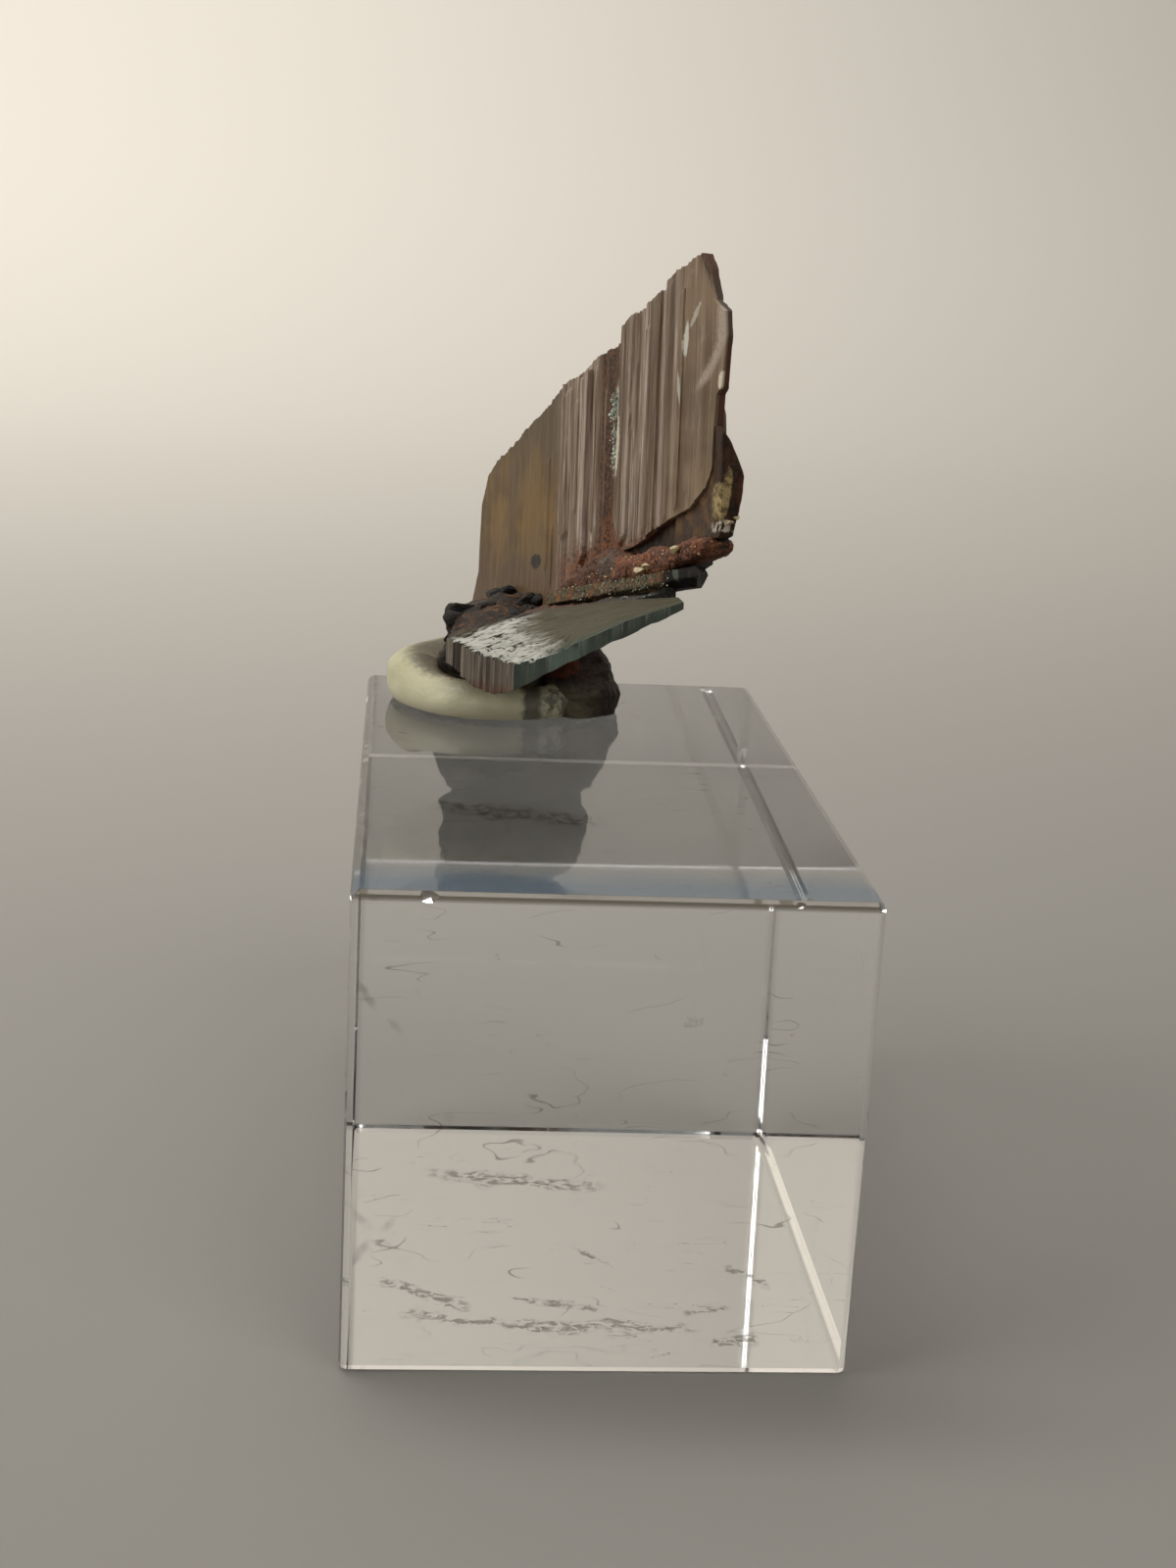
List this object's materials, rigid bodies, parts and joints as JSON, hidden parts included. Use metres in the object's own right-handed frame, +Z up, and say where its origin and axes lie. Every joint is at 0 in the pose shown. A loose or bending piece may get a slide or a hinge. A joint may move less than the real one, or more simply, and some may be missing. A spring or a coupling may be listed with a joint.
{
  "type": "bladed brown crystal specimen on a clear block",
  "caption": "Small specimen of flat striated brown crystals with a blue-green blade, set in pale putty on a clear rectangular display block.",
  "frame": {"origin": "middle of the clear block's underside", "axes": "+Z up; +X across the block's short side, to the viewer's right in the picture; +Y along the block's long side, away from the viewer"},
  "size_m": [0.025, 0.0456, 0.0532],
  "materials": {
    "clear_plastic": "clear, polished, lightly scratched",
    "pale_putty": "smooth satin",
    "brown_crystal": "satin, striated"
  },
  "bodies": {
    "root": {"display_block": "clear_plastic", "mounting_putty": "pale_putty", "crystal_group": "brown_crystal"}
  },
  "joints": []
}
